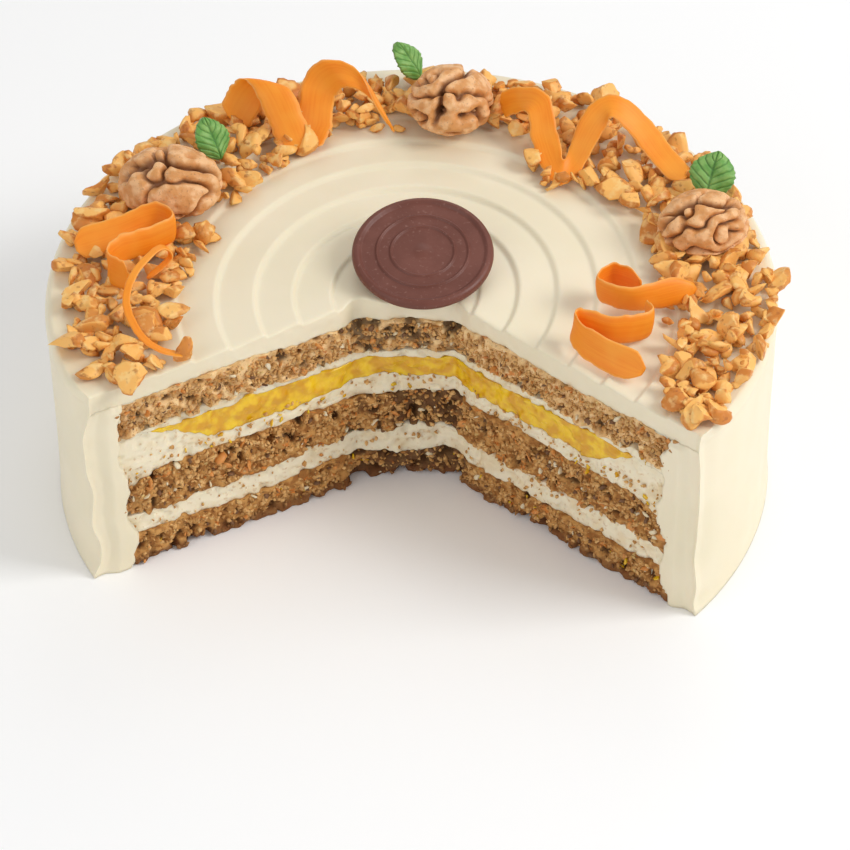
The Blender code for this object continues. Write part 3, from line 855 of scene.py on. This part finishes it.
ribbon("carrot_ribbon_5", 9.5 * MM, [
    (84, -12, 78, 150, 55), (66, -19, 79, 180, 78), (55, -14, 79, 180, 85), (60, -7, 79, 180, 85),
    (68, -11, 79, 170, 80),
], 65)
ribbon("carrot_ribbon_6", 9.5 * MM, [
    (69, -22, 77, 90, 75), (70, -28, 77, 60, 75), (59, -32, 78, 60, 75), (48, -28, 78, 40, 78),
    (51, -36, 77, 60, 70), (67, -47, 75, 40, 45),
], 66)

# %% [markdown]
# ## Leaves
# The green leaves are moulded, so their veins are crisp. The blade arches across, dips along the midrib,
# and its outline is a sine with small teeth.


# %% leaves
def leaf(name, centre, length, width, turns):
    """x = s * half(t), y = length * (t - 1/2), z = arch - vein, for t along and s across the blade."""
    rows, columns = 90, 49
    t = np.linspace(0, 1, rows)[:, None]
    s = np.linspace(-1, 1, columns)[None, :]
    teeth = 1 + 0.06 * (2 * np.abs((9 * t) % 1 - 0.5))
    half = width / 2 * np.maximum(np.sin(math.pi * np.clip(t, 0, 1)) ** 0.7, 0.05) * teeth
    vein = np.abs(((6 * t - 1.9 * np.abs(s)) % 1) - 0.5) * 2
    groove = np.exp(-(vein / 0.22) ** 2) * smooth(np.abs(s), 0.0, 0.15) + np.exp(-(s / 0.07) ** 2)
    x = s * half
    y = length * (t - 0.5) * np.ones_like(s)
    z = 1.6 * MM * np.abs(s) - 2.4 * MM * s * s + 1.2 * MM * np.sin(3 * t) - 0.45 * MM * groove
    z = z + 0.25 * MM * np.sin(9 * t + 4 * s)
    top = np.stack([x, y, z + 0.4 * MM], axis=-1)
    low = np.stack([x, y, z - 0.4 * MM], axis=-1)
    grid = np.concatenate([top, low[:, ::-1]], axis=1)
    grid = capped(grid)
    tone = np.concatenate([groove, groove[:, ::-1]], axis=1)
    tone = np.concatenate([tone[:1], tone, tone[-1:]])
    spin = np.eye(3)
    for axis, degrees in zip("XYZ", turns):
        spin = np.array(Matrix.Rotation(math.radians(degrees), 3, axis)) @ spin
    grid = grid @ spin.T + np.array(centre) * MM
    return piece(name, grid, quads(*grid.shape[:2], wrap_columns=True), leaf_look, "leaf", (name,), tone=tone)


leaf_look = Look("leaf", 0.5, 0.1, 1 * MM)
green = leaf_look.mix(leaf_look.noise(3 * MM, 2).ramp(0.35, 0.65), (0.14, 0.35, 0.07), (0.25, 0.46, 0.12))
leaf_look.set("Base Color", leaf_look.mix(leaf_look.tone().ramp(0.3, 1.0) * 0.6, green, (0.05, 0.17, 0.035)))
leaf_look.bump(leaf_look.noise(0.8 * MM, 2), 0.1 * MM, 0.4)
leaf("leaf_1", (-61, 58, 82), 14 * MM, 11 * MM, (50, 0, 35))
leaf("leaf_2", (0, 97, 82), 14 * MM, 10 * MM, (48, 0, 55))
leaf("leaf_3", (92, 35, 83), 15 * MM, 14 * MM, (48, 0, -25))

# %% [markdown]
# ## Crumbs and shreds on the cut
# A knife drags crumbs, nut chips and carrot shreds out of the sponge. They are separate small bodies
# pressed into the face, thickest on the sponge and thin on the cream.


# %% crumbs and shreds
def on_face(count, levels, seed, behind):
    """Random points on the cut within height bands, set behind it, with the outward side of the face."""
    draw = np.random.default_rng(seed)
    inner, side, torn, _ = cut_path(SPONGE_RADIUS - 1 * MM, 0.5 * MM)
    pick = draw.integers(2, len(inner) - 2, count)
    low, high = zip(*[levels[k] for k in draw.integers(0, len(levels), count)])
    z = draw.uniform(np.array(low), np.array(high)) * MM
    points = np.column_stack([inner[pick], z])
    normal = np.column_stack([side[pick], np.zeros(count)])
    depth = behind(points, torn[pick])
    return points - normal * depth[:, None], normal, draw


def specks(name, count, levels, low, high, look, slot, seed, flat=0.8, behind=crumb_depth):
    """Many tiny lumps pressed into the cut face."""
    points, normal, draw = on_face(count, levels, seed, behind)
    long = draw.uniform(low, high, count) * MM
    wide = long * draw.uniform(0.5, 1.0, count)
    sizes = np.stack([long, wide, long * flat * draw.uniform(0.5, 1.0, count)], axis=-1)
    shapes, tones = chunk(sizes, np.arange(count) + seed * 1000, 5, 7)
    shapes = shapes + (points + normal * 0.25 * MM)[:, None]
    shapes[..., 2] = np.maximum(shapes[..., 2], 0)
    piece(name, shapes, join(shapes, 5, 7), look, slot, tone=tones)


CREAM_BANDS = [(12, 19), (35, 41), (35, 41)]
SPONGE_BANDS = [(1, 10.5), (20, 34), (20, 34), (52, 62.5), (52, 62.5)]
crumb_look = sponge_look("crumb", (0.74, 0.44, 0.17), (0.52, 0.26, 0.075), (0.20, 0.08, 0.02))
chip_look = Look("nut_chip", 0.6)
chip_look.set("Base Color", chip_look.mix(chip_look.noise(1.5 * MM, 2),
                                          (0.10, 0.045, 0.02), (0.26, 0.12, 0.045)))
shred_look = Look("carrot_shred", 0.45, 0.15, 1.5 * MM)
shred_look.set("Base Color", shred_look.mix(shred_look.noise(2 * MM, 2),
                                            (0.62, 0.20, 0.035), (0.72, 0.34, 0.09)))
smear_look = Look("cream_smear", 0.45, 0.15, 2 * MM)
smear_look.set("Base Color", smear_look.mix(smear_look.noise(2 * MM, 2), CREAM_COLOUR, (0.74, 0.58, 0.34)))
specks("crumbs", 3800, SPONGE_BANDS, 0.35, 1.25, crumb_look, "sponge", 71)
specks("nut_chips", 190, SPONGE_BANDS, 0.4, 1.5, chip_look, "walnut", 72)
specks("carrot_shreds", 100, SPONGE_BANDS, 0.8, 2.6, shred_look, "carrot", 73, 0.3)
specks("cream_smears", 70, SPONGE_BANDS, 0.5, 2.0, smear_look, "cream", 74, 0.5)
specks("cream_crumbs", 210, CREAM_BANDS, 0.3, 1.0, crumb_look, "sponge", 75, 0.8, cream_depth)
specks("curd_bits", 60, [(2, 10), (34, 42)], 0.5, 1.8, curd_look, "curd", 76, 0.4, cream_depth)

# %% [markdown]
# ## Floor, light and camera
# A pale floor and a bright even room, with one broad lamp from the right and above, keep the cream clean
# and let the toppings cast short soft shadows. A long lens keeps the round cake round.

# %% stage
floor_mesh = bpy.data.meshes.new("floor")
floor_mesh.from_pydata([(-6, -6, 0), (6, -6, 0), (6, 6, 0), (-6, 6, 0)], [], [(0, 1, 2, 3)])
floor = bpy.data.objects.new("floor", floor_mesh)
floor.location.z = -0.0002
bpy.context.collection.objects.link(floor)
floor_look = Look("floor", 0.6)
floor_look.set("Base Color", (0.98, 0.98, 0.98))
floor_mesh.materials.append(floor_look.material)


def lamp(name, place, size, power):
    """A square white area lamp that faces the cake."""
    data = bpy.data.lights.new(name, "AREA")
    data.size = size
    data.energy = power
    data.color = (1, 1, 1)
    made = bpy.data.objects.new(name, data)
    made.location = place
    aim = Matrix.Translation(place).to_translation() - Matrix.Translation((0, 0, 0.05)).to_translation()
    made.rotation_euler = aim.to_track_quat("Z", "Y").to_euler()
    bpy.context.collection.objects.link(made)


lamp("key", (1.1, -0.2, 1.0), 0.6, 11)
lamp("fill", (-1.0, -0.9, 0.9), 1.0, 4.0)
lamp("back", (0.2, 1.2, 1.1), 0.8, 2)
world = bpy.data.worlds.new("room")
world.use_nodes = True
world.node_tree.nodes["Background"].inputs["Color"].default_value = (1, 1, 1, 1)
world.node_tree.nodes["Background"].inputs["Strength"].default_value = 0.58
bpy.context.scene.world = world
bpy.context.scene.view_settings.view_transform = "Standard"

lens = bpy.data.cameras.new("camera")
lens.sensor_width = 36
lens.lens = 169.4
camera = bpy.data.objects.new("camera", lens)
camera.location = (0, -0.9257, 0.8322)
turn = (Matrix.Rotation(math.radians(-0.22), 3, "Z") @ Matrix.Rotation(math.radians(48.53), 3, "X")
        @ Matrix.Rotation(math.radians(-0.64), 3, "Z"))
camera.rotation_euler = turn.to_euler()
bpy.context.collection.objects.link(camera)
bpy.context.scene.camera = camera
